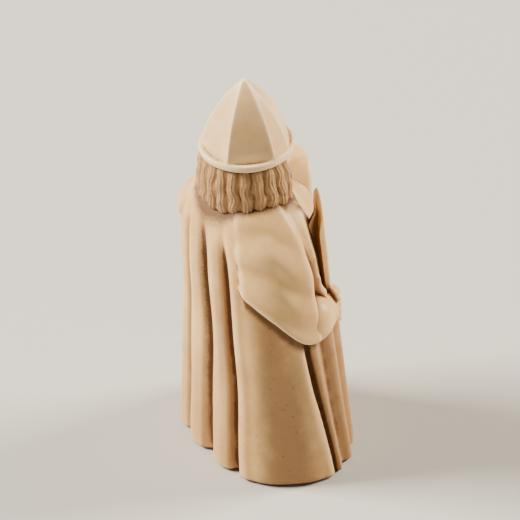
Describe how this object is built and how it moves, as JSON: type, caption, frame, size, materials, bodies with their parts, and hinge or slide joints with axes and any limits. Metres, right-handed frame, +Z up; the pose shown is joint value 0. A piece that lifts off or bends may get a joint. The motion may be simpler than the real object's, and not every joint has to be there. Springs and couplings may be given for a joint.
{
  "type": "medieval chess piece",
  "caption": "Standing chess warder in a pointed faceted helmet and long pleated robe, sword upright in the right hand and a kite shield held in front.",
  "frame": {"origin": "on the flat underside, below the middle of the figure's bounding box", "axes": "+Z up to the helmet's point, the figure looks along -Y, its left hand and shield side are on +X"},
  "size_m": [0.0338, 0.0236, 0.067],
  "materials": {
    "ivory_resin": "cast ivory-coloured resin, satin, with a brown wash left in the recesses"
  },
  "bodies": {
    "root": {"warder": "ivory_resin"}
  },
  "joints": []
}
